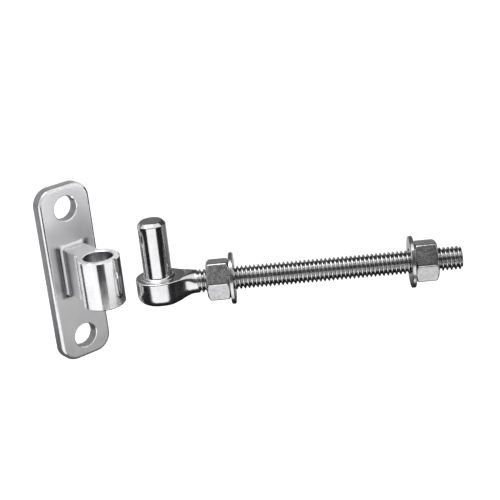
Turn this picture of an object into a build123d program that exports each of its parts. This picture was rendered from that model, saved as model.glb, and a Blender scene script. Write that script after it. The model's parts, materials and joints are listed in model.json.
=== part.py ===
# J-bolt gate hinge: a forged hook bolt that goes through the gate post, its two nuts and
# washers, and the cast bracket that screws to the gate and drops over the hook's pin.
# The bracket stands beside the pin, off it, turned as a gate half open would turn it.
# Z runs up the pin and X along the threaded rod. The origin is the foot of the pin's wall.
import os
from math import cos, pi, radians, sin, tan
from build123d import *

# Hook bolt, a 5/16 in rod with 18 threads to the inch
thread_diameter = 7.94
rod_reach = 101.6
rod_end_chamfer = 0.7
neck_end = 12.3

# Hook boss at the end of the rod, its heights measured from the rod's axis
boss_diameter = 15.4
boss_stretch = 1.2
boss_top = 3.0
boss_bottom = -5.9
boss_under_round = 3.5
boss_top_round = 0.5
neck_run = 9.3
neck_root_width = 14.2
neck_lift = 0.3
neck_fullness = 1.2
neck_sections = 6

# Pin that carries the bracket, 3/8 in
pin_diameter = 9.525
pin_length = 19.9
pin_top_chamfer = 1.1
collar_width = 0.35
collar_height = 0.3
pin_root_round = 0.8

# Hex nuts, 1/2 in across the flats
nut_across_flats = 12.7
nut_height = 7.8
nut_turn = 52.4
nut_corner_cut = 30.0
nut_flat_ring = 0.94
nut_countersink = 0.5
nut_clearance = 0.08

# Flat washers
washer_diameter = 17.46
washer_thickness = 1.4
washer_clearance = 0.36
washer_edge_break = 0.25

# Where the nuts stand: the bare thread before the inner one and past the outer one
thread_before_nut = 3.9
thread_past_nut = 8.2

# Bracket: barrel and web, their heights measured from the rod's axis
barrel_diameter = 14.6
barrel_length = 17.1
barrel_bottom = -4.9
barrel_clearance = 0.3
barrel_edge_break = 0.4
bore_chamfer = 0.35
web_thickness = 8.6
web_reach = 16.75
web_root_round = 1.5
web_barrel_round = 1.0

# Bracket: plate
plate_width = 20.0
plate_height = 63.6
plate_thickness = 4.4
plate_corner_round = 6.0
plate_front_round = 1.3
plate_back_break = 0.4
plate_hole_diameter = 8.75
plate_hole_inset = 8.0
plate_hole_chamfer = 0.25
plate_drop = 1.85

# Where the bracket stands: its bore ahead of the pin, and how far its face is turned
bracket_gap = 19.2
bracket_turn = -50.5

# Values that follow
thread_radius = thread_diameter / 2
pin_radius = pin_diameter / 2
collar_radius = pin_radius + pin_root_round + collar_width
collar_top = boss_top + collar_height
pin_top = boss_top + pin_length
rod_level = -(collar_top + pin_root_round)
inner_nut_start = neck_end + thread_before_nut
inner_washer_start = inner_nut_start + nut_height
outer_nut_start = rod_reach - thread_past_nut - nut_height
outer_washer_start = outer_nut_start - washer_thickness
bore_radius = pin_radius + barrel_clearance
barrel_middle = barrel_bottom + barrel_length / 2
plate_middle = barrel_middle - plate_drop
plate_hole_spacing = plate_height - 2 * plate_hole_inset
web_length = web_reach + plate_thickness / 2

rod_axis = Axis((0, 0, rod_level), (1, 0, 0))
bolt_side = Plane(origin=(0, 0, rod_level), x_dir=(1, 0, 0), z_dir=(0, -1, 0))
bracket_frame = Plane(
    origin=(-bracket_gap, 0, rod_level),
    x_dir=(cos(radians(bracket_turn)), sin(radians(bracket_turn)), 0),
    z_dir=(0, 0, 1),
)


def across_rod(distance, rise=0.0):
    """A plane square to the rod, at a distance from the pin's axis."""
    return Plane(origin=(distance, 0, rod_level + rise), x_dir=(0, 1, 0), z_dir=(1, 0, 0))


def neck_section(share):
    """Half width, half height and rise of the neck, from the boss (0) to the thread (1)."""
    flare = (1 + cos(pi * share**neck_fullness)) / 2
    half_width = thread_radius + (neck_root_width / 2 - thread_radius) * flare
    top = thread_radius + (boss_top - thread_radius) * flare
    bottom = -thread_radius + (boss_bottom + neck_lift + thread_radius) * flare
    return half_width, (top - bottom) / 2, (top + bottom) / 2


def at_height(height):
    """A test for the points of a sketch that lie at one height."""
    return lambda point: abs(point.Y - height) < 0.001


def boss_plan(height):
    """The boss seen from above, drawn out a little towards the rod, at a height over the rod."""
    with BuildSketch(Plane(origin=(boss_stretch / 2, 0, rod_level + height))) as plan:
        SlotCenterToCenter(boss_stretch, boss_diameter)
    return plan.sketch


# Hook bolt: boss, neck, rod and pin forged as one
with BuildPart() as hook_bolt:
    extrude(boss_plan(boss_bottom), amount=boss_top - boss_bottom)
    fillet(edges().group_by(Axis.Z)[0], boss_under_round)
    fillet(edges().group_by(Axis.Z)[-1], boss_top_round)

    for step in range(neck_sections):
        share = step / (neck_sections - 1)
        half_width, half_height, rise = neck_section(share)
        with BuildSketch(across_rod(neck_end - neck_run * (1 - share), rise)):
            Ellipse(half_width, half_height)
    loft()

    with BuildSketch(across_rod(neck_end)):
        Circle(thread_radius)
    extrude(amount=rod_reach - neck_end)
    chamfer(edges().group_by(Axis.X)[-1], rod_end_chamfer)

    extrude(boss_plan(boss_top), amount=thread_radius, mode=Mode.SUBTRACT)

    with BuildSketch(bolt_side) as pin_half:
        with BuildLine():
            Polyline(
                (0, 0),
                (collar_radius, 0),
                (collar_radius, boss_top),
                (collar_radius - collar_height, collar_top),
                (pin_radius, collar_top),
                (pin_radius, pin_top),
                (0, pin_top),
                close=True,
            )
        make_face()
        fillet(pin_half.vertices().filter_by(at_height(collar_top)).sort_by(Axis.X)[0], pin_root_round)
    revolve(axis=Axis.Z)
    chamfer(edges().group_by(Axis.Z)[-1], pin_top_chamfer)
hook_bolt.part.label = "hook_bolt"


def hex_nut(start):
    """A hex nut with its corners turned off at both ends and its bore countersunk."""
    ring_radius = nut_across_flats / 2 * nut_flat_ring
    corner_radius = nut_across_flats / 2 / cos(radians(30))
    cut_depth = (corner_radius - ring_radius) * tan(radians(nut_corner_cut))
    with BuildPart() as nut:
        with BuildSketch(across_rod(start)):
            RegularPolygon(nut_across_flats / 2, 6, major_radius=False, rotation=nut_turn)
        extrude(amount=nut_height)
        with BuildSketch(bolt_side):
            with BuildLine():
                Polyline(
                    (start, 0),
                    (start, ring_radius),
                    (start + cut_depth, corner_radius),
                    (start + nut_height - cut_depth, corner_radius),
                    (start + nut_height, ring_radius),
                    (start + nut_height, 0),
                    close=True,
                )
            make_face()
        revolve(axis=rod_axis, mode=Mode.INTERSECT)
        with BuildSketch(across_rod(start)):
            Circle(thread_radius + nut_clearance)
        extrude(amount=nut_height, mode=Mode.SUBTRACT)
        chamfer(faces().filter_by(GeomType.CYLINDER).edges(), nut_countersink)
    return nut.part


def flat_washer(start):
    """A flat washer that stands square on the rod."""
    with BuildPart() as washer:
        with BuildSketch(across_rod(start)):
            Circle(washer_diameter / 2)
            Circle(thread_radius + washer_clearance, mode=Mode.SUBTRACT)
        extrude(amount=washer_thickness)
        chamfer(edges().filter_by(GeomType.CIRCLE), washer_edge_break)
    return washer.part


inner_nut = hex_nut(inner_nut_start)
inner_nut.label = "inner_nut"
outer_nut = hex_nut(outer_nut_start)
outer_nut.label = "outer_nut"
inner_washer = flat_washer(inner_washer_start)
inner_washer.label = "inner_washer"
outer_washer = flat_washer(outer_washer_start)
outer_washer.label = "outer_washer"

# Bracket: barrel, web and plate cast as one
facing = Axis(bracket_frame.origin, bracket_frame.x_dir)
plate_face = Plane(
    origin=bracket_frame.from_local_coords(Vector(-web_reach, 0, plate_middle)),
    x_dir=bracket_frame.y_dir,
    z_dir=bracket_frame.x_dir,
)


def web_side_of(bracket):
    """The plate's flat face that the web grows out of, the only one with a loop inside it."""
    flat = bracket.faces().filter_by(facing)
    return flat.filter_by(lambda face: len(face.inner_wires()) > 0)[0]


with BuildPart() as gate_bracket:
    with BuildSketch(bracket_frame.offset(barrel_bottom)) as barrel_plan:
        Circle(barrel_diameter / 2)
        with Locations((-web_length / 2, 0)):
            Rectangle(web_length, web_thickness)
        fillet(barrel_plan.vertices().group_by(Axis.X)[1], web_barrel_round)
    extrude(amount=barrel_length)
    chamfer(edges().group_by(Axis.Z)[0], barrel_edge_break)
    chamfer(edges().group_by(Axis.Z)[-1], barrel_edge_break)

    with BuildSketch(plate_face):
        RectangleRounded(plate_width, plate_height, plate_corner_round)
    extrude(amount=-plate_thickness)
    fillet(web_side_of(gate_bracket).inner_wires()[0].edges(), web_root_round)
    fillet(web_side_of(gate_bracket).outer_wire().edges(), plate_front_round)
    chamfer(faces().sort_by(facing)[0].edges(), plate_back_break)

    with BuildSketch(bracket_frame.offset(barrel_bottom)):
        Circle(bore_radius)
    extrude(amount=barrel_length, mode=Mode.SUBTRACT)
    bore = faces(Select.LAST).filter_by(GeomType.CYLINDER)
    chamfer(bore.edges().filter_by(GeomType.CIRCLE), bore_chamfer)

    with BuildSketch(plate_face):
        with GridLocations(0, plate_hole_spacing, 1, 2):
            Circle(plate_hole_diameter / 2)
    extrude(amount=-plate_thickness, mode=Mode.SUBTRACT)
    holes = faces(Select.LAST).filter_by(GeomType.CYLINDER)
    chamfer(holes.edges().filter_by(GeomType.CIRCLE), plate_hole_chamfer)
gate_bracket.part.label = "gate_bracket"

os.makedirs("parts", exist_ok=True)
export_step(hook_bolt.part, "parts/hook_bolt.step")
export_step(inner_nut, "parts/inner_nut.step")
export_step(outer_nut, "parts/outer_nut.step")
export_step(inner_washer, "parts/inner_washer.step")
export_step(outer_washer, "parts/outer_washer.step")
export_step(gate_bracket.part, "parts/gate_bracket.step")
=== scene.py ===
import json
from math import cos, pi, radians, sin, tan, tau

import bmesh
import bpy
from mathutils import Matrix, Vector


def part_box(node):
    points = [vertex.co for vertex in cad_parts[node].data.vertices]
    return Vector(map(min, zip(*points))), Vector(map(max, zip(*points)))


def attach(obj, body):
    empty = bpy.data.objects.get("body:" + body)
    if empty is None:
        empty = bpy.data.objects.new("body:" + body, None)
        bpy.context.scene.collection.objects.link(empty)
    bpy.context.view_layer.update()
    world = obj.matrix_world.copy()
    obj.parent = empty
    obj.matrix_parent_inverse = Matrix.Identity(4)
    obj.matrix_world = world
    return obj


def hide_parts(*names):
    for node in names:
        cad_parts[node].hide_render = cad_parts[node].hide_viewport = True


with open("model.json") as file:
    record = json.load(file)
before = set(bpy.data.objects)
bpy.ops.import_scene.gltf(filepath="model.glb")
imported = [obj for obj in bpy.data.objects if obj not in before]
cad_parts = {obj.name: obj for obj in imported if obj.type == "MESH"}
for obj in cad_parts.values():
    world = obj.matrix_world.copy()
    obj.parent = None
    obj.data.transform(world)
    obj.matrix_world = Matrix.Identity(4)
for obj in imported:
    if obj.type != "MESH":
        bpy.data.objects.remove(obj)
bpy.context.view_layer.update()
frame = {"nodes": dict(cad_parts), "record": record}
nodes = frame["nodes"]
mounts = {mount["name"]: mount for mount in frame["record"]["mounts"]}
bolt_low, bolt_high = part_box("hook_bolt")

# Rod and thread, in metres, and the thread's form in shares of half a pitch
ROD_LEVEL = mounts["post_clamp"]["pos_m"][2]
ROD_END = bolt_high.x
NECK_END = 0.0123
ROD_START = NECK_END - 0.0004
END_CHAMFER = 0.0007
CREST = 0.00397
PITCH = 0.0254 / 18
DEPTH = 0.6134 * PITCH
THREAD_START = NECK_END + 0.0002
THREAD_RUN_IN = 0.0016
ROOT_SHARE = 0.14
FLANK_SHARE = 0.72
RIDGE_SOFTNESS = 0.05

# Boss and neck, in millimetres, with heights over the rod's axis
ROD_RADIUS = 3.97
NECK_STOP = 12.3
NECK_RUN = 9.3
NECK_OVERLAP = 0.4
NECK_FULLNESS = 1.2
NECK_SPREAD = 2.5
NECK_WAIST = 1.6
BOSS_CENTRE = 0.8
BOSS_RADIUS = 7.7
BOSS_TOP = 3.0
BOSS_BOTTOM = (bolt_low.z - ROD_LEVEL) * 1000
BOSS_TOP_ROUND = 0.5
BOSS_UNDER_ROUND = 3.5
WAIST_SOFTNESS = 0.04
WAIST_RUN = 2.0
SEAT_CENTRE = 0.6
SEAT_RADIUS = 8.35
SEAT_SHOULDER = 0.5
SEAT_RISE = 1.5
SEAT_CURVE = 1.5

# Pin and collar, in millimetres, with heights over the rod's axis
PIN_RADIUS = mounts["pin"]["dims"]["r_mm"]
PIN_TOP = (bolt_high.z - ROD_LEVEL) * 1000
PIN_TIP = 3.56
PIN_EDGE = 0.45
PIN_ROOT = 0.8
COLLAR_TOP = 3.3
PIN_FOOT = COLLAR_TOP + PIN_ROOT
PIN_WALL = 17.5
PIN_SHOULDER = 21.62
COLLAR_FOOT = 2.0
COLLAR_RADIUS = 5.91
COLLAR_SLOPE = [(COLLAR_RADIUS, 3.02), (5.86, 3.12), (5.66, 3.28), (5.56, COLLAR_TOP)]

# Nuts, in millimetres, with turns in degrees
NUT_FLAT = 6.35
NUT_RING = 5.919
NUT_CONE = 1.732
NUT_LENGTH = 7.8
NUT_FACE = 5.4
NUT_BORE = 4.05
NUT_SINK = 0.5
NUT_TURN = 82.4
NUT_EDGE = 0.7
NUT_SOFTNESS = 0.05
NUT_TURNS = (-29, -27, -25, -23, -20, -15, -8, 0, 8, 15, 20, 23, 25, 27, 29)
NUT_STEPS = (0, 0.06, 0.12, 0.18, 0.25, 0.33, 0.42, 0.52, 0.64, 0.78, 0.95, 1.2, 1.7, 2.6)

# How finely the meshes are divided, and how near points are joined into one, in metres
NECK_ROWS, BOSS_TURNS = 96, 36
TOP_STEPS, TOP_ROUND_STEPS = 10, 12
UNDER_STEPS, UNDER_ROUND_STEPS = 6, 16
PIN_AROUND, WALL_STEPS, PIN_ROOT_STEPS, PIN_EDGE_STEPS = 96, 12, 10, 5
ROD_AROUND, RINGS_PER_PITCH = 56, 13
CARD_COLUMNS, CARD_ROWS = 10, 3
WELD = 2e-7

# Bracket's place, its turn, and how far the plate's face lies from the bore, in metres
BORE_X = mounts["barrel_bore"]["pos_m"][0]
TURN = radians(-50.5)
PLATE_REACH = 0.01675

# Where the bracket's surfaces change, in metres. Ahead and behind are measured from the plate's
# face, aside from the web's middle, and heights from the origin.
SATIN_AHEAD = (0.0003, 0.0008)
# The bracket's sides behind the plate's face are rougher and painted darker with shade
EDGE_BEHIND = (-0.0006, -0.0003)
# Where the painted shade beside the web lies on the plate's face
WEB_SHADE_BEHIND = (-0.0004, -0.0001)
WEB_SHADE_AHEAD = (0.0002, 0.0030)
WEB_SHADE_INNER = (0.0043, 0.0049)
WEB_SHADE_OUTER = (0.0060, 0.0072)
WEB_SHADE_TOP = (0.0084, 0.0094)
WEB_SHADE_BOTTOM = (-0.0106, -0.0096)

# How squarely a surface faces the plate's way, from 0 edge on to 1, for its flat face and its edge
FLAT_FACING = (0.93, 0.99)
EDGE_FACING = (0.40, 0.55)

# Studio, in metres
FLOOR = -0.12
FLOOR_SIZE = 6
FLOOR_COLOUR = (0.8, 0.8, 0.8, 1)
FLOOR_GLOW = 0.52
WORLD_LEVEL = 0.55
RING = 0.26
CARD_TOP = 0.054
CARD_MIDDLE = -0.01
CARD_FLOOR = FLOOR + 0.002
STRIP_FLOOR = CARD_FLOOR + 0.002
SHEET_GAP = 0.002
OVERHEAD_REACH = 0.22
ALONG_ALL = (-0.3, 0.5)
ALONG_LEFT = (-0.3, -0.012)
ALONG_RIGHT = (-0.012, 0.5)
LAMP_SIZE = 0.9
LAMP_POWER = 6.5
LAMP_PLACE = Vector((-0.25, -0.35, 1.0))
LAMP_AIM = Vector((0.03, 0, 0))

# Camera: its angles, the focal length, frame and pivot in pixels, and its distance in metres.
# The pivot is the point where the pin's axis meets the rod's, as it lies in the frame.
CAM_AZ, CAM_EL, CAM_ROLL = radians(2.2), radians(21.0), radians(6.0)
FOCAL_PX, FRAME_PX = 1200.0, 500.0
PIVOT_PX = (159.4, 284.5)
CAM_DEPTH = 0.404


def between(ends, share):
    return ends[0] + (ends[1] - ends[0]) * share


def held(share):
    """A share held between 0 and 1."""
    return min(max(share, 0.0), 1.0)


def soft_larger(a, b, softness):
    """The larger of two lengths, rounded off where they are nearly the same."""
    return (a + b + ((a - b) ** 2 + softness) ** 0.5) / 2


def soft_smaller(a, b, softness):
    """The smaller of two lengths, rounded off where they are nearly the same."""
    return (a + b - ((a - b) ** 2 + softness) ** 0.5) / 2


# Nodes that the materials share
def noise(nt, coords, scale, detail=3.0, rough=0.5, stretch=None):
    texture = nt.nodes.new("ShaderNodeTexNoise")
    texture.inputs["Scale"].default_value = scale
    texture.inputs["Detail"].default_value = detail
    texture.inputs["Roughness"].default_value = rough
    if stretch:
        mapping = nt.nodes.new("ShaderNodeMapping")
        mapping.inputs["Scale"].default_value = stretch
        nt.links.new(coords, mapping.inputs["Vector"])
        coords = mapping.outputs["Vector"]
    nt.links.new(coords, texture.inputs["Vector"])
    return texture.outputs["Fac"]


def remap(nt, value, start, stop, low, high):
    """The value with start to stop spread over low to high, and held there."""
    node = nt.nodes.new("ShaderNodeMapRange")
    node.inputs["From Min"].default_value = start
    node.inputs["From Max"].default_value = stop
    node.inputs["To Min"].default_value = low
    node.inputs["To Max"].default_value = high
    nt.links.new(value, node.inputs["Value"])
    return node.outputs["Result"]


def rises(nt, value, span, origin=0.0):
    """0 before the span and 1 past it, the span measured from the origin."""
    return remap(nt, value, origin + span[0], origin + span[1], 0.0, 1.0)


def falls(nt, value, span, origin=0.0):
    """1 before the span and 0 past it, the span measured from the origin."""
    return remap(nt, value, origin + span[0], origin + span[1], 1.0, 0.0)


def math_node(nt, operation, a, b=0.0):
    node = nt.nodes.new("ShaderNodeMath")
    node.operation = operation
    for socket, value in zip(node.inputs, (a, b)):
        if isinstance(value, (int, float)):
            socket.default_value = value
        else:
            nt.links.new(value, socket)
    return node.outputs["Value"]


def product(nt, first, *others):
    for other in others:
        first = math_node(nt, "MULTIPLY", first, other)
    return first


def colour_mix(nt, factor, low, high):
    node = nt.nodes.new("ShaderNodeMix")
    node.data_type = "RGBA"
    nt.links.new(factor, node.inputs["Factor"])
    for socket, value in ((node.inputs[6], low), (node.inputs[7], high)):
        if isinstance(value, tuple):
            socket.default_value = (*value, 1.0)
        else:
            nt.links.new(value, socket)
    return node.outputs[2]


def dot_with(nt, vector, axis):
    node = nt.nodes.new("ShaderNodeVectorMath")
    node.operation = "DOT_PRODUCT"
    nt.links.new(vector, node.inputs[0])
    node.inputs[1].default_value = axis
    return node.outputs["Value"]


def grey(level, blue=0.01):
    """A grey with a touch of blue, as zinc has."""
    return (level, level, level + blue)


# Materials
GRAIN_SHARE, CLOUD_SHARE = 0.35, 0.65
TONE_SPAN = (0.35, 0.65)
CLOUD_SPAN = (0.3, 0.7)
DENT_DEPTH = 0.0001
SATIN_BLOTCH = 60.0
SATIN_DULLER, EDGE_DULLER = 0.17, 0.165


def zinc(name, low, high, rough, blotch=180.0, grain=1500.0, bump=0.05, stretch=None):
    """Bright zinc plate: soft cloudy tone, grain in the colour and a fine bump."""
    mat = bpy.data.materials.new(name)
    mat.use_nodes = True
    nt = mat.node_tree
    shader = nt.nodes["Principled BSDF"]
    shader.inputs["Metallic"].default_value = 1.0
    coords = nt.nodes.new("ShaderNodeTexCoord").outputs["Object"]
    cloud = noise(nt, coords, blotch, detail=4.0, rough=0.6)
    fine = noise(nt, coords, grain, rough=0.6, stretch=stretch)
    tone = math_node(nt, "ADD", product(nt, fine, GRAIN_SHARE), product(nt, cloud, CLOUD_SHARE))
    nt.links.new(colour_mix(nt, rises(nt, tone, TONE_SPAN), low, high), shader.inputs["Base Color"])
    nt.links.new(remap(nt, cloud, *CLOUD_SPAN, *rough), shader.inputs["Roughness"])
    dent = nt.nodes.new("ShaderNodeBump")
    dent.inputs["Strength"].default_value = bump
    dent.inputs["Distance"].default_value = DENT_DEPTH
    nt.links.new(fine, dent.inputs["Height"])
    nt.links.new(dent.outputs["Normal"], shader.inputs["Normal"])
    return mat


def satin_plate(mat):
    """Give the bracket's material the plate's satin face, painted shade on its rougher sides and a
    band of painted shade on the plate beside the web.
    """
    nt = mat.node_tree
    shader = nt.nodes["Principled BSDF"]
    coords = nt.nodes.new("ShaderNodeTexCoord").outputs
    facing = (cos(TURN), sin(TURN), 0.0)
    sideways = (-sin(TURN), cos(TURN), 0.0)
    face = BORE_X * cos(TURN) - PLATE_REACH
    squareness = math_node(nt, "ABSOLUTE", dot_with(nt, coords["Normal"], facing))
    along = dot_with(nt, coords["Object"], facing)
    across = math_node(nt, "ADD", dot_with(nt, coords["Object"], sideways), BORE_X * sin(TURN))
    aside = math_node(nt, "ABSOLUTE", across)
    height = dot_with(nt, coords["Object"], (0.0, 0.0, 1.0))

    flat = product(nt, rises(nt, squareness, FLAT_FACING), falls(nt, along, SATIN_AHEAD, face))
    # painted shade: surfaces edge-on to the plate's face and behind it, which are also made rougher
    edge = product(nt, falls(nt, squareness, EDGE_FACING), falls(nt, along, EDGE_BEHIND, face))
    # painted shade: a band on the plate's face beside the web
    web_shade = product(
        nt,
        rises(nt, aside, WEB_SHADE_INNER),
        falls(nt, aside, WEB_SHADE_OUTER),
        falls(nt, along, WEB_SHADE_AHEAD, face),
        rises(nt, along, WEB_SHADE_BEHIND, face),
        falls(nt, height, WEB_SHADE_TOP),
        rises(nt, height, WEB_SHADE_BOTTOM),
    )

    cloud = noise(nt, coords["Object"], SATIN_BLOTCH)
    satin = colour_mix(nt, rises(nt, cloud, CLOUD_SPAN), grey(0.58), grey(0.64))
    colour = shader.inputs["Base Color"].links[0].from_socket
    colour = colour_mix(nt, flat, colour, satin)
    # the sides are painted dark, standing for shade, as well as made rougher below
    colour = colour_mix(nt, edge, colour, grey(0.22, 0.005))
    # the band beside the web is painted dark, standing for the web's shade
    colour = colour_mix(nt, web_shade, colour, grey(0.16, 0.005))
    nt.links.new(colour, shader.inputs["Base Color"])

    gloss = shader.inputs["Roughness"].links[0].from_socket
    duller = math_node(nt, "ADD", product(nt, flat, SATIN_DULLER), product(nt, edge, EDGE_DULLER))
    nt.links.new(math_node(nt, "ADD", gloss, duller), shader.inputs["Roughness"])


def paint_root_shade(mat):
    """Paint shade into the thread's colour, darker towards its roots, where the ridges shade each
    other.
    """
    nt = mat.node_tree
    shader = nt.nodes["Principled BSDF"]
    coords = nt.nodes.new("ShaderNodeTexCoord").outputs["Object"]
    across = dot_with(nt, coords, (0.0, 1.0, 0.0))
    height = math_node(nt, "SUBTRACT", dot_with(nt, coords, (0.0, 0.0, 1.0)), ROD_LEVEL)
    squares = math_node(nt, "ADD", product(nt, across, across), product(nt, height, height))
    radius = math_node(nt, "SQRT", squares)
    # painted shade: the colour darkens from the crest down to the thread's roots
    root_shade = falls(nt, radius, (-DEPTH, -0.25 * DEPTH), CREST)
    colour = shader.inputs["Base Color"].links[0].from_socket
    nt.links.new(colour_mix(nt, root_shade, colour, grey(0.38, 0.005)), shader.inputs["Base Color"])


polished = zinc("polished_zinc", grey(0.66), grey(0.80), (0.13, 0.18), bump=0.03)
forged = zinc("forged_zinc", grey(0.64), grey(0.78), (0.17, 0.23), bump=0.05)
thread_zinc = zinc("thread_zinc", grey(0.66), grey(0.82), (0.14, 0.22), bump=0.04)
nut_zinc = zinc("nut_zinc", grey(0.50), grey(0.78), (0.16, 0.24),
                blotch=900.0, grain=2400.0, bump=0.12, stretch=(0.25, 1.0, 1.0))
washer_zinc = zinc("washer_zinc", grey(0.60), grey(0.78), (0.18, 0.26), blotch=300.0, bump=0.10)
bracket_zinc = zinc("bracket_zinc", grey(0.68), grey(0.80), (0.12, 0.18), bump=0.012)
satin_plate(bracket_zinc)
# the thread gets painted shade in its roots
paint_root_shade(thread_zinc)

for name, mat in (("inner_washer", washer_zinc), ("outer_washer", washer_zinc),
                  ("gate_bracket", bracket_zinc)):
    nodes[name].data.materials.clear()
    nodes[name].data.materials.append(mat)


# What the meshes share
def put(bm, x, y, z):
    """A point of a mesh, from millimetres and a height over the rod's axis."""
    return bm.verts.new((x / 1000, y / 1000, ROD_LEVEL + z / 1000))


def arc(cy, cz, radius, start, end, count):
    steps = [radians(start + (end - start) * i / count) for i in range(count + 1)]
    return [(cy + radius * cos(t), cz + radius * sin(t)) for t in steps]


def skin(bm, rings, closed=False):
    """Join each ring of points to the next with quads."""
    count = len(rings[0])
    for a, b in zip(rings, rings[1:]):
        for j in range(count if closed else count - 1):
            k = (j + 1) % count
            bm.faces.new((a[j], a[k], b[k], b[j]))


def add_piece(name, bm, materials, sharp_angle):
    """Turn a finished bmesh into a smooth piece whose edges past the angle stay sharp."""
    bmesh.ops.recalc_face_normals(bm, faces=bm.faces)
    mesh = bpy.data.meshes.new(name)
    bm.to_mesh(mesh)
    bm.free()
    mesh.polygons.foreach_set("use_smooth", [True] * len(mesh.polygons))
    mesh.set_sharp_from_angle(angle=radians(sharp_angle))
    for mat in materials:
        mesh.materials.append(mat)
    piece = bpy.data.objects.new(name, mesh)
    bpy.context.scene.collection.objects.link(piece)
    return piece


# Hook bolt
def thread_radius_at(x, turn):
    """Radius of the rod at a distance along it, with the turn as a share of a circle."""
    phase = ((x - NECK_END) / PITCH - turn) % 1.0
    climb = abs(phase - 0.5) * 2
    ridge = held((climb - ROOT_SHARE) / FLANK_SHARE)
    ridge -= RIDGE_SOFTNESS * sin(tau * ridge)
    fade = held((x - THREAD_START) / THREAD_RUN_IN)
    radius = CREST - DEPTH * (1 - ridge) * fade
    return min(radius, CREST - max(0.0, x - (ROD_END - END_CHAMFER)))


def flare(x):
    """1 where the neck leaves the boss and 0 at the thread, x in millimetres from the pin's axis."""
    share = held((x - (NECK_STOP - NECK_RUN)) / NECK_RUN)
    return (1 + cos(pi * share**NECK_FULLNESS)) / 2


def boss_width(x):
    """Half width of the boss and neck in plan, drawn smoothly from one to the other."""
    past = x - BOSS_CENTRE
    if past < 0:
        return BOSS_RADIUS
    neck = ROD_RADIUS + NECK_SPREAD * flare(x) ** NECK_WAIST
    round_end = max(BOSS_RADIUS**2 - past**2, 0.0) ** 0.5
    return soft_larger(round_end, neck, WAIST_SOFTNESS * held(past / WAIST_RUN))


def top_limit(x, y):
    """How high the forging stands: level round the pin, with a shoulder up to the neck."""
    beyond = ((x - SEAT_CENTRE) ** 2 + y * y) ** 0.5 - SEAT_RADIUS
    return BOSS_TOP + SEAT_RISE * held(beyond / SEAT_SHOULDER) ** SEAT_CURVE


def half_section(x):
    """Top middle to bottom middle of the boss or neck at x, as (y, height over the rod's axis)."""
    share = flare(x)
    width = boss_width(x)
    top = between((ROD_RADIUS, BOSS_TOP), share)
    bottom = between((-ROD_RADIUS, BOSS_BOTTOM), share)
    top_round = between((ROD_RADIUS, BOSS_TOP_ROUND), share**0.5)
    under_round = between((ROD_RADIUS, BOSS_UNDER_ROUND), share)
    top_flat, under_flat = width - top_round, width - under_round
    points = [(top_flat * i / TOP_STEPS, top) for i in range(TOP_STEPS)]
    points += arc(top_flat, top - top_round, top_round, 90, 0, TOP_ROUND_STEPS)
    points += arc(under_flat, bottom + under_round, under_round, 0, -90, UNDER_ROUND_STEPS)
    points += [(under_flat * (1 - i / UNDER_STEPS), bottom) for i in range(1, UNDER_STEPS + 1)]
    return [(y, min(z, top_limit(x, y))) for y, z in points]


def boss_and_neck(bm):
    """The head of the bolt: round on its far side, drawn out to the rod on the other."""
    half = []
    for i in range(NECK_ROWS, 0, -1):
        x = (NECK_STOP + NECK_OVERLAP) * i / NECK_ROWS
        half.append([(x, y, z) for y, z in half_section(min(x, NECK_STOP))])
    middle = half_section(0.0)
    for i in range(BOSS_TURNS + 1):
        turn = radians(90 + 90 * i / BOSS_TURNS)
        half.append([(y * cos(turn), y * sin(turn), z) for y, z in middle])
    left = [[put(bm, x, y, z) for x, y, z in ring] for ring in half]
    right = [[put(bm, x, -y, z) for x, y, z in ring] for ring in reversed(half)]
    skin(bm, left)
    skin(bm, right)
    bm.faces.new(left[0] + right[-1][::-1][1:-1])


def pin(bm):
    """The pin with its chamfered top and the low collar round its foot."""
    profile = [(0, COLLAR_FOOT), (COLLAR_RADIUS, COLLAR_FOOT), *COLLAR_SLOPE]
    profile += arc(PIN_RADIUS + PIN_ROOT, PIN_FOOT, PIN_ROOT, 270, 180, PIN_ROOT_STEPS)[1:]
    profile += [(PIN_RADIUS, PIN_FOOT + PIN_WALL * i / WALL_STEPS) for i in range(1, WALL_STEPS)]
    profile += arc(PIN_RADIUS - PIN_EDGE, PIN_SHOULDER, PIN_EDGE, 0, 45, PIN_EDGE_STEPS)
    profile += arc(PIN_TIP, PIN_TOP - PIN_EDGE, PIN_EDGE, 45, 90, PIN_EDGE_STEPS)
    profile += [(0, PIN_TOP)]
    turns = [tau * j / PIN_AROUND for j in range(PIN_AROUND)]
    rings = [[put(bm, r * cos(t), r * sin(t), z) for t in turns] for r, z in profile]
    skin(bm, rings, closed=True)


def rod(bm):
    """The threaded rod, closed at both ends."""
    rings = int((ROD_END - ROD_START) / PITCH * RINGS_PER_PITCH)
    grid = []
    for i in range(rings + 1):
        x = between((ROD_START, ROD_END), i / rings)
        ring = []
        for j in range(ROD_AROUND):
            turn = j / ROD_AROUND
            r = thread_radius_at(x, turn)
            ring.append(bm.verts.new((x, r * cos(tau * turn), ROD_LEVEL + r * sin(tau * turn))))
        grid.append(ring)
    skin(bm, grid, closed=True)
    bm.faces.new(list(reversed(grid[0])))
    bm.faces.new(grid[-1])


def forged_piece(name, builders, materials):
    """A piece of the hook bolt, made by the builders in turn."""
    bm = bmesh.new()
    for build in builders:
        build(bm)
    bmesh.ops.remove_doubles(bm, verts=bm.verts, dist=WELD)
    piece = add_piece(name, bm, materials, sharp_angle=32)
    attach(piece, "bolt")
    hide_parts("hook_bolt")
    return piece


# The pin is polished from the foot of its wall up, and the rest of the head is as forged
POLISHED, FORGED = 0, 1
POLISHED_FROM = -0.0001
head = forged_piece("hook_head", (boss_and_neck, pin), (polished, forged))
for face in head.data.polygons:
    face.material_index = FORGED if face.center.z < POLISHED_FROM else POLISHED
threaded_rod = forged_piece("threaded_rod", (rod,), (thread_zinc,))


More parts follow.
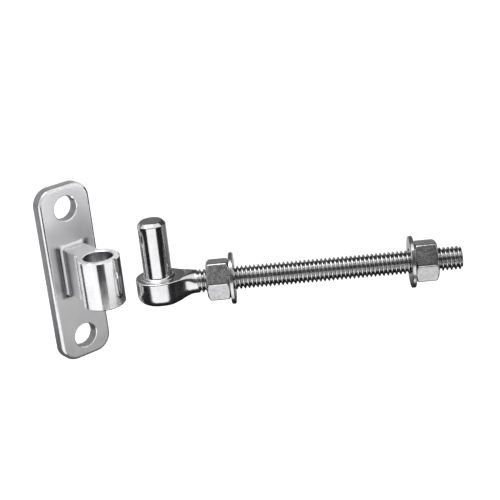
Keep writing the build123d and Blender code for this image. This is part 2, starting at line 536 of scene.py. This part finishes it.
# Nuts
def hex_radius(turn):
    """Radius of a hexagon with softly rounded corners, turn in degrees from the middle of a flat."""
    turn = abs((turn + 30) % 60 - 30)
    flat = NUT_FLAT / cos(radians(turn))
    inner = NUT_FLAT - NUT_EDGE
    if inner * tan(radians(30)) > flat * sin(radians(turn)):
        return flat
    centre = inner / cos(radians(30))
    off = radians(30 - turn)
    return centre * cos(off) + (NUT_EDGE**2 - (centre * sin(off)) ** 2) ** 0.5


def nut_ring(x, turns):
    """One ring of a nut's outside, x in millimetres from its end, its corners softly turned off."""
    end = min(x, NUT_LENGTH - x)
    cone = NUT_RING + end * NUT_CONE
    return [soft_smaller(hex_radius(turn), cone, NUT_SOFTNESS) for turn in turns]


def hex_nut(name, start):
    """A hex nut whose near end is at start, in millimetres along the rod."""
    turns = [60 * side + turn for side in range(6) for turn in NUT_TURNS]
    outside = [*NUT_STEPS, *(NUT_LENGTH - x for x in reversed(NUT_STEPS))]
    inside = [
        (NUT_LENGTH, NUT_FACE),
        (NUT_LENGTH, NUT_BORE + NUT_SINK),
        (NUT_LENGTH - NUT_SINK, NUT_BORE),
        (NUT_SINK, NUT_BORE),
        (0, NUT_BORE + NUT_SINK),
        (0, NUT_FACE),
    ]
    shape = [(x, nut_ring(x, turns)) for x in outside]
    shape += [(x, [radius] * len(turns)) for x, radius in inside]
    bm = bmesh.new()
    angles = [radians(turn + NUT_TURN) for turn in turns]
    rings = [[put(bm, start + x, r * cos(t), r * sin(t)) for t, r in zip(angles, ring)]
             for x, ring in shape]
    skin(bm, rings + [rings[0]], closed=True)
    return add_piece(name, bm, (nut_zinc,), sharp_angle=50)


nuts = []
for node in ("inner_nut", "outer_nut"):
    nut = hex_nut("rounded_" + node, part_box(node)[0][0] * 1000)
    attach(nut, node)
    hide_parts(node)
    nuts.append(nut)


# Floor and world
def seen_directly(nt):
    """1 for rays from the camera, a mirror or through glass, so that all of them see the white."""
    path = nt.nodes.new("ShaderNodeLightPath").outputs
    seen = math_node(nt, "MAXIMUM", path["Is Camera Ray"], path["Is Glossy Ray"])
    return math_node(nt, "MAXIMUM", seen, path["Is Transmission Ray"])


def bare_material(name):
    """A material with nothing but its output."""
    mat = bpy.data.materials.new(name)
    mat.use_nodes = True
    mat.node_tree.nodes.remove(mat.node_tree.nodes["Principled BSDF"])
    return mat


def join_shaders(nt, kind, first, second):
    """Send two shaders to the material's output through a node that adds or mixes them."""
    joint = nt.nodes.new(kind)
    nt.links.new(first.outputs[0], joint.inputs[-2])
    nt.links.new(second.outputs[0], joint.inputs[-1])
    nt.links.new(joint.outputs[0], nt.nodes["Material Output"].inputs["Surface"])
    return joint


def pale_floor():
    """The floor's material: matt white that glows just enough to be seen as white."""
    mat = bare_material("pale_floor")
    nt = mat.node_tree
    matt = nt.nodes.new("ShaderNodeBsdfDiffuse")
    matt.inputs["Color"].default_value = FLOOR_COLOUR
    glow = nt.nodes.new("ShaderNodeEmission")
    nt.links.new(product(nt, seen_directly(nt), FLOOR_GLOW), glow.inputs["Strength"])
    join_shaders(nt, "ShaderNodeAddShader", matt, glow)
    return mat


world = bpy.data.worlds.new("studio")
bpy.context.scene.world = world
world.use_nodes = True
sky = world.node_tree.nodes["Background"]
sky.inputs["Color"].default_value = (1, 1, 1, 1)
white = remap(world.node_tree, seen_directly(world.node_tree), 0.0, 1.0, WORLD_LEVEL, 1.0)
world.node_tree.links.new(white, sky.inputs["Strength"])

bpy.ops.mesh.primitive_plane_add(size=FLOOR_SIZE, location=(0, 0, FLOOR))
floor = bpy.context.object
floor.name = "floor"
floor.data.materials.append(pale_floor())


# Cards that only reflections see
# Each side of the metal is the pieces that see a card at one level, kept in a collection
sides = {}
for side, pieces in (("head", [head]), ("rod", [threaded_rod]),
                     ("nuts", nuts + [nodes["inner_washer"], nodes["outer_washer"]]),
                     ("bracket", [nodes["gate_bracket"]])):
    sides[side] = bpy.data.collections.new(side + "_side")
    for piece in pieces:
        sides[side].objects.link(piece)


def sheet(name, place, cover, glow, receivers, size):
    """One sheet of a card: it glows for its receivers and dims what is behind it for all."""
    mat = bare_material(name)
    nt = mat.node_tree
    lit = nt.nodes.new("ShaderNodeEmission")
    lit.inputs["Strength"].default_value = glow
    clear = nt.nodes.new("ShaderNodeBsdfTransparent")
    join_shaders(nt, "ShaderNodeMixShader", clear, lit).inputs["Fac"].default_value = cover
    row = CARD_COLUMNS + 1
    points = [place(j / CARD_COLUMNS, i / CARD_ROWS) for i in range(CARD_ROWS + 1) for j in range(row)]
    corners = [i * row + j for i in range(CARD_ROWS) for j in range(CARD_COLUMNS)]
    mesh = bpy.data.meshes.new(name)
    mesh.from_pydata([[c * size for c in point] for point in points], [],
                     [(k, k + 1, k + row + 1, k + row) for k in corners])
    mesh.materials.append(mat)
    obj = bpy.data.objects.new(name, mesh)
    bpy.context.scene.collection.objects.link(obj)
    obj.visible_camera = False
    obj.visible_diffuse = False
    obj.visible_shadow = False
    obj.light_linking.receiver_collection = receivers


def card(name, place, levels):
    """A card that only reflections see, as bright for each side of the metal as levels says.

    place(u, v) gives the card's points for u and v from 0 to 1. The card is a stack of sheets, one
    for each side, that cover 1/4, 1/3, 1/2 and all of what is behind, so that each gives a quarter.
    """
    count = len(sides)
    for i, (side, level) in enumerate(zip(sides, levels)):
        sheet(f"{name}_{side}", place, 1 / (count - i), level * count, sides[side], 1 + SHEET_GAP * i)


def upright(name, az, levels, bottom=CARD_FLOOR, top=CARD_TOP):
    """An upright card. az runs in degrees from the camera's side towards +X."""
    def place(u, v):
        turn = radians(between(az, u))
        return RING * sin(turn), -RING * cos(turn), between((bottom, top), v)
    card(name, place, levels)


def sector(name, az, reach, levels):
    """A card on the floor, between two azimuths and two distances from the pin."""
    def place(u, v):
        turn, far = radians(between(az, u)), between(reach, v)
        return far * sin(turn), -far * cos(turn), CARD_FLOOR
    card(name, place, levels)


def overhead(name, climb, along, levels):
    """A long card beside the rod. climb runs in degrees from the camera's side over the top."""
    def place(u, v):
        turn = radians(between(climb, v))
        return between(along, u), -OVERHEAD_REACH * cos(turn), OVERHEAD_REACH * sin(turn)
    card(name, place, levels)


def floor_strip(name, depth, levels):
    """A long card on the floor. depth runs from the camera's side (below 0) to behind the rod."""
    def place(u, v):
        return between(ALONG_ALL, u), between(depth, v), STRIP_FLOOR
    card(name, place, levels)


# Each card's last numbers are its levels for the head, the rod, the nuts and the bracket
for name, az, bracket in (("left_far", (-180, -136), 0.6), ("back", (150, 180), 0.08)):
    upright("card_" + name, az, (0.45, 0.45, 0.5, bracket), top=CARD_MIDDLE)
    upright("card_high_" + name, az, (0.45, 0.45, 0.3, bracket), bottom=CARD_MIDDLE)
upright("card_left_wide", (-136, -120), (0.22, 0.30, 0.3, 0.8))
upright("card_left_dark", (-120, -104), (0.05, 0.05, 0.05, 1.0))
upright("card_left", (-104, -87), (0.02, 0.03, 0.03, 0.03))
upright("card_left_near", (-87, -40), (0.02, 0.03, 0.03, 1.2))
upright("card_mid", (-10, 32), (1.25, 1.2, 1.1, 0.02))
upright("card_right", (34, 92), (0.015, 0.03, 0.03, 1.2))
upright("card_right_wide", (92, 103), (0.25, 0.2, 0.3, 1.2))
upright("card_right_far", (103, 150), (0.20, 0.2, 0.2, 0.02))
sector("low_left", (-120, -40), (0.06, 0.26), (0.02, 1.0, 0.1, 1.0))
sector("low_right", (34, 110), (0.06, 0.22), (0.03, 1.0, 0.1, 0.05))
sector("low_right_far", (34, 110), (0.22, 0.26), (0.03, 1.0, 0.1, 0.6))
overhead("high_front", (0, 36), ALONG_ALL, (0.05, 0.12, 0.05, 0.8))
overhead("high_front_top", (36, 46), ALONG_ALL, (0.05, 0.12, 0.06, 0.8))
overhead("high_middle", (46, 72), ALONG_ALL, (1.0, 1.0, 0.06, 1.0))
overhead("high_back", (104, 171), ALONG_RIGHT, (0.06, 0.06, 0.12, 0.9))
overhead("high_back_left", (104, 171), ALONG_LEFT, (0.18, 0.18, 0.12, 0.9))
floor_strip("under_front", (-0.07, -0.025), (0.02, 0.02, 0.95, 0.08))
floor_strip("under_back", (-0.025, 0.30), (0.02, 0.02, 0.02, 0.15))


# Lamp
lamp_data = bpy.data.lights.new("soft_top", "AREA")
lamp_data.shape = "DISK"
lamp_data.size = LAMP_SIZE
lamp_data.energy = LAMP_POWER
lamp = bpy.data.objects.new("soft_top", lamp_data)
lamp.location = LAMP_PLACE
lamp.rotation_euler = (LAMP_AIM - LAMP_PLACE).to_track_quat("-Z", "Y").to_euler()
bpy.context.scene.collection.objects.link(lamp)


# Camera
forward = Vector((-sin(CAM_AZ) * cos(CAM_EL), cos(CAM_AZ) * cos(CAM_EL), -sin(CAM_EL)))
level_right = Vector((cos(CAM_AZ), sin(CAM_AZ), 0))
level_up = level_right.cross(forward)
right = cos(CAM_ROLL) * level_right - sin(CAM_ROLL) * level_up
up = sin(CAM_ROLL) * level_right + cos(CAM_ROLL) * level_up
across = (PIVOT_PX[0] - FRAME_PX / 2) / FOCAL_PX * CAM_DEPTH
rise = -(PIVOT_PX[1] - FRAME_PX / 2) / FOCAL_PX * CAM_DEPTH
eye = Vector((0, 0, ROD_LEVEL)) - (across * right + rise * up + CAM_DEPTH * forward)

cam_data = bpy.data.cameras.new("camera")
cam_data.sensor_width = 36.0
cam_data.lens = FOCAL_PX / FRAME_PX * cam_data.sensor_width
cam_data.clip_start = 0.01
cam = bpy.data.objects.new("camera", cam_data)
cam.matrix_world = Matrix((
    (right.x, up.x, -forward.x, eye.x),
    (right.y, up.y, -forward.y, eye.y),
    (right.z, up.z, -forward.z, eye.z),
    (0, 0, 0, 1),
))
bpy.context.scene.collection.objects.link(cam)
bpy.context.scene.camera = cam
bpy.context.scene.view_settings.view_transform = "Standard"
